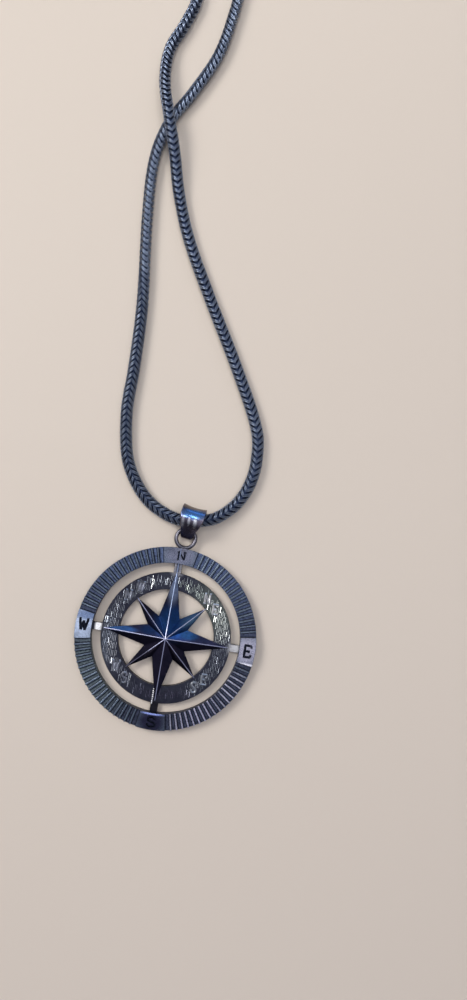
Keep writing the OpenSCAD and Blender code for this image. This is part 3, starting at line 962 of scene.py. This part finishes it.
@dataclass
class Bail:
    """Saddle-flared band through the eyelet and round the chain."""

    sheet: float = 0.5
    rim_width: float = 4.2
    rim_round: float = 0.11
    taper: float = 0.42
    flare: float = 0.25
    tip_r: float = 0.67
    rim_r: float = 1.55
    tip_mid: Point2 = (1.12, 1.17)
    rim_mid: Point2 = (3.65, 2.3)
    length: float = 5.75
    drop: float = 0.05
    turn: float = 8.0
    eyelet: Point2 = (0.4659, 17.7939)
    # Share of the length and how far the width has grown there
    widths: tuple[Point2, ...] = (
        (0, 0), (0.08, 0.24), (0.3, 0.43), (0.45, 0.7), (0.6, 0.92), (0.75, 1), (1, 1))
    along: int = 96
    across: int = 16

    def build(self, effects: SharedEffects) -> None:
        """Builds and dresses the bail."""
        bail = Bench.piece("saddle_bail", self._sheet(), smooth_angle=50)
        Bench.finish(bail, BAIL_FINISH.build(effects), Slot.BAIL, "bail")

    def _stations(self) -> list[Point2]:
        """Stations round the loop, evenly spaced along its outer face.

        Returns:
            Share of the way from tip bend to rim bend, and direction that the sheet faces in radians.
        """
        run = Vector(self.rim_mid) - Vector(self.tip_mid)
        slope = math.atan2(run.y, run.x)
        lean = math.asin((self.rim_r - self.tip_r) / run.length)
        back, front = slope - math.pi / 2 - lean, slope + math.pi / 2 + lean
        strap = run.length * math.cos(lean)
        rim_arc = (self.rim_r + self.sheet) * (front - back)
        tip_arc = (self.tip_r + self.sheet) * (2 * math.pi - (front - back))
        whole = rim_arc + tip_arc + 2 * strap
        stations = []
        for index in range(self.along):
            s = whole * index / self.along
            if s < rim_arc:
                stations.append((1.0, back + s / (self.rim_r + self.sheet)))
            elif s < rim_arc + strap:
                stations.append((1 - (s - rim_arc) / strap, front))
            elif s < rim_arc + strap + tip_arc:
                stations.append((0.0, front + (s - rim_arc - strap) / (self.tip_r + self.sheet)))
            else:
                stations.append(((s - rim_arc - strap - tip_arc) / strap, back))
        return stations

    def _place(self, station: Point2, side: float) -> Vector:
        """Point on the outer face of the sheet.

        Args:
            station: A station round the loop.
            side: From -1 at one edge to 1 at the other.

        Returns:
            The point, before the bail is turned and placed.
        """
        share, facing = station
        mid = Vector(self.tip_mid).lerp(Vector(self.rim_mid), share)
        radius = self.tip_r + (self.rim_r - self.tip_r) * share + self.sheet
        reach = (mid.x + radius * math.cos(facing) + self.drop) / self.length
        width = self.rim_width * (self.taper + (1 - self.taper) * np.interp(reach, *zip(*self.widths)))
        out = radius + self.flare * side * side * share
        return Vector((side * width / 2, mid.x + out * math.cos(facing), mid.y + out * math.sin(facing)))

    def _sheet(self) -> BMesh:
        """Closed loop of sheet with rounded rims."""
        stations = self._stations()
        band = bmesh.new()
        bmesh.ops.create_grid(band, x_segments=self.along, y_segments=self.across, size=1.0)
        for vert in band.verts:
            index = round((vert.co.x + 1) / 2 * self.along)
            vert.co = self._place(stations[index % self.along], vert.co.y)
        bmesh.ops.remove_doubles(band, verts=band.verts, dist=WELD)
        Bench.outwards(band)
        self._face_outwards(band)
        bmesh.ops.solidify(band, geom=band.faces[:], thickness=self.sheet)
        Bench.outwards(band)
        rims = [edge for edge in band.edges
                if edge.is_manifold and edge.calc_face_angle(0) > math.radians(50)]
        Bench.bevel(band, rims, self.rim_round, segments=3, clamp=True)
        Bench.move(band, (*self.eyelet, 0), turn=-self.turn)
        return band

    def _face_outwards(self, band: BMesh) -> None:
        """Turns the open band's faces so that they look away from the loop's middle."""
        middle = (Vector(self.tip_mid) + Vector(self.rim_mid)) / 2
        total = sum((face.calc_center_median() - Vector((0, *middle))).dot(face.normal) * face.calc_area()
                    for face in band.faces)
        if total < 0:
            bmesh.ops.reverse_faces(band, faces=band.faces[:])


class Route:
    """Smooth line that the chain follows, with a frame at each place along it."""

    STEP = 0.1

    def __init__(self, points: Sequence[Vector], least_height: float) -> None:
        """Samples the curve through the points at even distances.

        Args:
            points: The route's points, in millimetres.
            least_height: Lowest height of the line.
        """
        array = np.array([tuple(point) for point in points])
        heading = self._unit(np.vstack([array[1:], array[-1:]]) - np.vstack([array[:1], array[:-1]]))
        dense = []
        for here, there, leave, arrive in zip(array, array[1:], heading, heading[1:]):
            span = np.linalg.norm(there - here)
            s = np.linspace(0, 1, max(int(span / self.STEP), 2), endpoint=False)[:, None]
            dense.append((2 * s**3 - 3 * s**2 + 1) * here + (s**3 - 2 * s**2 + s) * span * leave
                         + (3 * s**2 - 2 * s**3) * there + (s**3 - s**2) * span * arrive)
        line = np.vstack([*dense, array[-1:]])
        line[:, 2] = np.maximum(line[:, 2], least_height)
        away = np.concatenate([[0], np.cumsum(np.linalg.norm(np.diff(line, axis=0), axis=1))])
        self.length = float(away[-1])
        self.stations = np.arange(0, self.length, self.STEP)
        self.line = self._at(self.stations, away, line)
        tangent = self._unit(np.gradient(self.line, axis=0))
        self.across = self._unit(np.cross([0.0, 0.0, 1.0], tangent))
        self.up = np.cross(tangent, self.across)

    @staticmethod
    def _unit(rows: np.ndarray) -> np.ndarray:
        """Each row at length 1."""
        return rows / np.linalg.norm(rows, axis=1)[:, None]

    @staticmethod
    def _at(wanted: np.ndarray, stations: np.ndarray, rows: np.ndarray) -> np.ndarray:
        """Rows at some places, read between the rows at the stations."""
        return np.stack([np.interp(wanted, stations, rows[:, axis]) for axis in range(3)], axis=1)

    def wrap(self, straight: np.ndarray, roll: Callable[[np.ndarray], np.ndarray]) -> np.ndarray:
        """Bends points of a straight chain along the route.

        Args:
            straight: Rows of distance along, distance across and height above the line.
            roll: Turn of the chain about its line, in radians, at each distance along.

        Returns:
            Rows of x, y and z.
        """
        s = np.clip(straight[:, 0], 0, self.stations[-1])
        mid, across, up = (self._at(s, self.stations, rows) for rows in (self.line, self.across, self.up))
        turn = roll(s)
        side = straight[:, 1] * np.cos(turn) - straight[:, 2] * np.sin(turn)
        rise = straight[:, 1] * np.sin(turn) + straight[:, 2] * np.cos(turn)
        return mid + side[:, None] * across + rise[:, None] * up


@dataclass
class FoxtailChain:
    """Foxtail chain: rows of folded wire loops round a dark middle."""

    radius: float = 1.05
    bail_lift: float = 0.8
    cross_lift: float = 2.25
    bend: Point2 = (0.9739, 21.4083)
    clasp: Point2 = (-13.0, 219.0)
    clasp_lift: float = 0.6
    end_x: float = 3.55
    mouth_x: float = 6.5
    pitch: float = 1.12
    wire_r: float = 0.135
    wire_reach: float = 0.945
    wire_sides: int = 5
    fold: float = 1.2
    wrap_angle: float = 102.0
    side_share: float = 0.62
    upper_share: float = 0.26
    spread: float = 0.2
    apex_spread: float = 0.145
    end_spread: float = 0.55
    side_dip: float = 0.04
    back_dip: float = 0.07
    core_r: float = 0.66
    core_step: float = 1.2
    hidden_r: float = 0.78
    exposed_over: float = 0.19
    widening: float = 0.07
    widened_over: float = 8.0
    valley_half: float = 0.5
    # Distance along the chain and how much painted light lightens the loops there
    daylight: tuple[Point2, ...] = ((0, 0.12), (185, 0.12), (207, 0), (330, 0), (345, 0.12), (506, 0.12))
    # Distance along the chain and how much painted shade darkens the line between the rows there
    valley: tuple[Point2, ...] = ((0, 0.3), (190, 0.35), (207, 0.85), (246, 0.85), (262, 0.55),
                                  (300, 0.5), (322, 0.1), (345, 0.3), (506, 0.3))
    # Distance along the chain and its twist there, in degrees
    twist: tuple[Point2, ...] = (
        (0, 0), (110, 0), (140, 60), (149, 58), (155, 30), (162, 24), (176, 35), (186, 58), (198, 48),
        (207, -7), (232, -6), (248, 2), (256, 3), (262, 0), (272, -4), (282, -8), (312, -7), (322, -3),
        (332, 0), (342, 20), (350, 52), (362, 45), (390, 0), (506, 0))
    # Place from the bend in the bail, and shares of the lift at the crossing and in the bail
    route: tuple[tuple[float, float, float, float], ...] = (
        (2, 216.5, 0, 0), (11, 209, 0, 0), (19.5, 190, 0, 0), (19.5, 168, 0, 0), (12.5, 147, 0, 0),
        (2, 129, 0, 0), (-6, 112, 0, 0), (-8, 104, 0, 0), (-8.5, 97.5, 0, 0), (-10, 88, 0, 0),
        (-13.5, 79.5, 0, 0), (-17, 72.5, 0, 0), (-18.4, 65, 0, 0), (-17.8, 54.5, 0, 0),
        (-15.7, 37, 0, 0), (-15.1, 25, 0, 0), (-15, 17.5, 0, 0), (-13.5, 9.5, 0, 0),
        (-11.3, 5.2, 0, 0), (-8.1, 1.8, 0, 0.15), (-4.5, 0, 0, 0.65), (-2, -0.5, 0, 1),
        (0, -0.25, 0, 1), (2, 0, 0, 1), (4.4, 1, 0, 0.8), (7.4, 4, 0, 0.2), (9.2, 8, 0, 0),
        (9.7, 12.5, 0, 0), (8.8, 18, 0, 0), (3.7, 28, 0, 0), (-3.9, 41, 0, 0), (-9.5, 51.2, 0, 0),
        (-12.8, 59.5, 0.07, 0), (-14.8, 66.5, 0.55, 0), (-17, 73, 1, 0), (-19, 80, 0.55, 0),
        (-19.3, 87, 0.07, 0), (-17.4, 92.5, 0, 0), (-16, 98, 0, 0), (-16.5, 105, 0, 0),
        (-20, 113, 0, 0), (-29, 129, 0, 0), (-39, 147, 0, 0), (-45.5, 168, 0, 0),
        (-45.5, 190, 0, 0), (-37, 209, 0, 0), (-28, 216.5, 0, 0))

    def build(self, effects: SharedEffects) -> None:
        """Builds and dresses the chain as one joined mesh."""
        route = self._route()
        count = int(route.length / self.pitch - 1.5)
        chain = self._rows((route.length - count * self.pitch) / 2, count)
        Bench.add(chain, self._core(route.length))
        self._shade(chain)
        straight = np.array([tuple(vert.co) for vert in chain.verts])
        from_end = np.minimum(straight[:, 0], route.length - straight[:, 0])
        straight[:, 1] *= 1 + self.widening * np.clip(from_end / self.widened_over, 0, 1)
        lying = route.wrap(straight, lambda s: np.radians(np.interp(s, *zip(*self.twist))))
        lying[:, 2] = np.maximum(lying[:, 2], 0.0)
        for vert, place in zip(chain.verts, lying):
            vert.co = place
        made = Bench.piece("foxtail_chain", chain, smooth_angle=180)
        Bench.finish(made, CHAIN_FINISH.build(effects), Slot.CHAIN, "chain")
        log.info("chain: %d loops on %.1f mm", 2 * count, route.length)

    def _route(self) -> Route:
        """The route of the part's source, end to end."""
        held = Vector((*self.clasp, self.clasp_lift))
        lying = [Vector((x, y, cross * self.cross_lift + lift * self.bail_lift))
                 for x, y, cross, lift in self.route]
        ends = [held + Vector((x, 0, 0)) for x in (self.end_x, self.mouth_x, -self.mouth_x, -self.end_x)]
        start = Vector((*self.bend, self.radius))
        return Route([start + point for point in [*ends[:2], *lying, *ends[2:]]], self.radius)

    def _fold_line(self) -> list[Point3]:
        """Middle of one loop's wire, folded over the upper side of a straight chain along x."""
        shares = (-1.0, -self.side_share, -self.upper_share, 0.0, self.upper_share, self.side_share, 1.0)
        line = []
        for edge in (-1, 1):
            for share in shares[::-edge]:
                turn = math.radians(self.wrap_angle * share)
                climb = 0.5 * min(abs(math.sin(turn)), 1.0) + 0.5 * abs(turn) / (math.pi / 2)
                reach = self.wire_reach - self.side_dip * abs(share)
                reach -= self.back_dip * (1 - abs(share)) if edge > 0 else 0.0
                opened = min(abs(share) / self.side_share, 1)
                apart = self.apex_spread + (self.spread - self.apex_spread) * opened
                apart *= self.end_spread if abs(share) == 1.0 else 1.0
                line.append((self.fold * (climb - 0.5) + edge * apart, reach * math.sin(turn),
                             reach * math.cos(turn)))
        return line

    def _shade(self, chain: BMesh) -> None:
        """Paints shade on the line where the loops fold over and paints light on the lit stretches of the
        chain.
        """
        wear_and_painted_light = chain.verts.layers.float["wear_and_painted_light"]
        along = [vert.co.x for vert in chain.verts]
        shares = zip(np.interp(along, *zip(*self.valley)), np.interp(along, *zip(*self.daylight)))
        for vert, (valley, daylight) in zip(chain.verts, shares):
            shown = vert[wear_and_painted_light] * (1 - valley * max(1 - abs(vert.co.y) / self.valley_half, 0.0))
            vert[wear_and_painted_light] = shown + daylight * (1 - shown)

    def _rows(self, start: float, count: int) -> BMesh:
        """Both rows of loops on a straight chain along x.

        Args:
            start: Distance of the first upper loop along the chain.
            count: Number of loops in each row.

        Returns:
            The loops, with a vertex layer that says how far each vertex stands out.
        """
        pair = bmesh.new()
        for side, shift in ((1, 0.0), (-1, 0.5)):
            loop = Bench.wires([(self._fold_line(), True, False)], self.wire_r, self.wire_sides)
            Bench.move(loop, (start + shift * self.pitch, 0, 0), (1, side, side))
            Bench.add(pair, loop)
        # The layer is 0 on the hidden inner wire, where the tarnish colour shows real tarnish and also
        # paints the shade inside the chain, and 1 on the outer wire
        wear_and_painted_light = pair.verts.layers.float.new("wear_and_painted_light")
        for vert in pair.verts:
            away = math.hypot(vert.co.y, vert.co.z)
            vert[wear_and_painted_light] = min(max((away - self.hidden_r) / self.exposed_over, 0.0), 1.0)
        return Bench.array(pair, self.pitch, count)

    def _core(self, length: float) -> BMesh:
        """Dark middle of a straight chain, a closed tube along x, standing in for the inner wires; it
        shows mostly the tarnish colour, which there also paints the shade inside the chain.
        """
        tube = bmesh.new()
        bmesh.ops.create_cone(tube, cap_ends=True, segments=8, radius1=self.core_r, radius2=self.core_r,
                              depth=length, matrix=Matrix.Translation((0, 0, length / 2)))
        sides = [edge for edge in tube.edges if edge.calc_length() > length / 2]
        bmesh.ops.subdivide_edges(tube, edges=sides, cuts=int(length / self.core_step), use_grid_fill=True)
        bmesh.ops.triangulate(tube, faces=[face for face in tube.faces if len(face.verts) > 4])
        Bench.move(tube, turn=90, axis="Y")
        return tube


@dataclass
class Clasp:
    """Plain barrel clasp."""

    def build(self, effects: SharedEffects) -> None:
        """Dresses the clasp's CAD node."""
        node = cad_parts["clasp"]
        node.data.materials.clear()
        node.data.materials.append(CLASP_FINISH.build(effects))
        log.info("clasp: dressed")


@dataclass(frozen=True)
class Card:
    """Soft light card."""

    name: str
    place: Point3
    size: Point2
    radiance: float
    colour: Colour
    aim: Point3 = (0.0, 0.0, 0.0)
    spread: float = 180.0

    def build(self) -> None:
        """Hangs the card so that it faces what it is aimed at."""
        data = bpy.data.lights.new(self.name, "AREA")
        data.shape = "RECTANGLE"
        data.size, data.size_y = self.size
        data.energy = self.radiance * math.pi * self.size[0] * self.size[1]
        data.color = self.colour
        data.spread = math.radians(self.spread)
        card = Bench.linked(self.name, data)
        card.location = self.place
        card.rotation_euler = (Vector(self.aim) - Vector(self.place)).to_track_quat("-Z", "Y").to_euler()


@dataclass
class Studio:
    """Camera, floor, lights and surroundings."""

    eye: Point3 = (3.86, 15.29, 126.84)
    forward: Point3 = (0.0307, 0.0854, -0.9959)
    upward: Point3 = (-0.1694, 0.9824, 0.079)
    lens: float = 25.2
    sensor: float = 36.0
    floor_colour: Colour = (0.67, 0.595, 0.515)
    floor_roughness: float = 0.55
    floor_specular: float = 0.3
    floor_side: float = 16.0
    wall_colour: Colour = (0.6, 0.56, 0.52)
    # Height in the room, from the horizon to the zenith, and colour of the light from there
    sky: tuple[tuple[float, Colour], ...] = (
        (0.0, (0.5, 0.47, 0.44)), (0.03, (0.4, 0.38, 0.36)), (0.1, (0.12, 0.12, 0.15)),
        (0.35, (0.15, 0.155, 0.19)), (0.75, (0.42, 0.42, 0.48)), (1.0, (0.52, 0.53, 0.62)))
    # Where the light is weaker and where it is whole, from south to north, and the weaker strength
    south_fade: Point3 = (-0.75, -0.35, 0.5)
    cards: tuple[Card, ...] = (
        Card("key card", (-0.56, 0.24, 0.6), (0.34, 0.34), 11.5, (1.0, 0.97, 0.93)),
        Card("west card", (-0.09, -0.075, 0.62), (0.1, 0.1), 2.6, (0.95, 0.98, 1.0)),
        Card("east card", (0.26, 0.03, 0.85), (0.16, 0.16), 13.0, (1.0, 0.98, 1.0)),
        Card("far card", (-0.05, 0.33, 0.8), (0.2, 0.2), 2.0, (1.0, 0.99, 0.9), (-0.05, 0.33, 0.0), 60.0),
        Card("north window", (0.0, 0.75, 0.27), (0.5, 0.22), 0.9, (0.45, 0.66, 1.0)),
    )

    def build(self) -> None:
        """Builds the whole studio."""
        self._camera()
        self._floor()
        self._surroundings()
        for card in self.cards:
            card.build()
        bpy.context.scene.view_settings.view_transform = "Standard"
        log.info("studio: %d cards", len(self.cards))

    def _camera(self) -> None:
        """Sets the camera at the photograph's viewing angle."""
        data = bpy.data.cameras.new("camera")
        data.lens = self.lens
        data.sensor_width = self.sensor
        data.clip_start = 0.001
        back = -Vector(self.forward).normalized()
        right = Vector(self.upward).cross(back).normalized()
        turn = Matrix((right, back.cross(right), back)).transposed().to_4x4()
        camera = Bench.linked("camera", data)
        camera.matrix_world = Matrix.Translation(Vector(self.eye) * MM) @ turn
        bpy.context.scene.camera = camera

    def _floor(self) -> None:
        """Lays the plain pale floor."""
        mesh = bmesh.new()
        bmesh.ops.create_grid(mesh, x_segments=1, y_segments=1, size=self.floor_side / 2 / MM)
        floor = Bench.piece("floor", mesh)
        material = bpy.data.materials.new("pale floor")
        material.use_nodes = True
        Graph(material.node_tree).feed(material.node_tree.nodes["Principled BSDF"], {
            "Base Color": self.floor_colour, "Roughness": self.floor_roughness,
            "Specular IOR Level": self.floor_specular})
        floor.data.materials.append(material)

    def _surroundings(self) -> None:
        """Fills the room with soft light that fades to the horizon and to the south."""
        world = bpy.data.worlds.new("soft room")
        world.use_nodes = True
        bpy.context.scene.world = world
        graph = Graph(world.node_tree)
        parts = graph.node("ShaderNodeSeparateXYZ", {0: graph.place("Generated")}).outputs
        colour = graph.node("ShaderNodeValToRGB", {"Fac": parts["Z"]})
        stops = colour.color_ramp.elements
        stops.remove(stops[1])
        for height, shade in self.sky:
            stop = stops.new(height) if height > 0 else stops[0]
            stop.color = (*shade, 1.0)
        start, end, least = self.south_fade
        light = graph.feed(world.node_tree.nodes["Background"], {
            "Color": colour.outputs["Color"], "Strength": graph.ramp(parts["Y"], start, end, least)})
        wall = graph.node("ShaderNodeBackground", {"Color": self.wall_colour})
        choice = graph.node("ShaderNodeMixShader", {
            "Fac": graph.node("ShaderNodeLightPath").outputs["Is Camera Ray"],
            1: light.outputs["Background"], 2: wall.outputs["Background"]})
        graph.feed(world.node_tree.nodes["World Output"], {"Surface": choice.outputs["Shader"]})


def main() -> None:
    """Builds the studio and every sub-assembly in order."""
    effects = SharedEffects()
    Studio().build()
    for assembly in (OuterRing(), InnerRing(), CompassStar(), Bail(), FoxtailChain(), Clasp()):
        assembly.build(effects)
        log.info("%s: done", type(assembly).__name__)


if __name__ == "__main__":
    main()
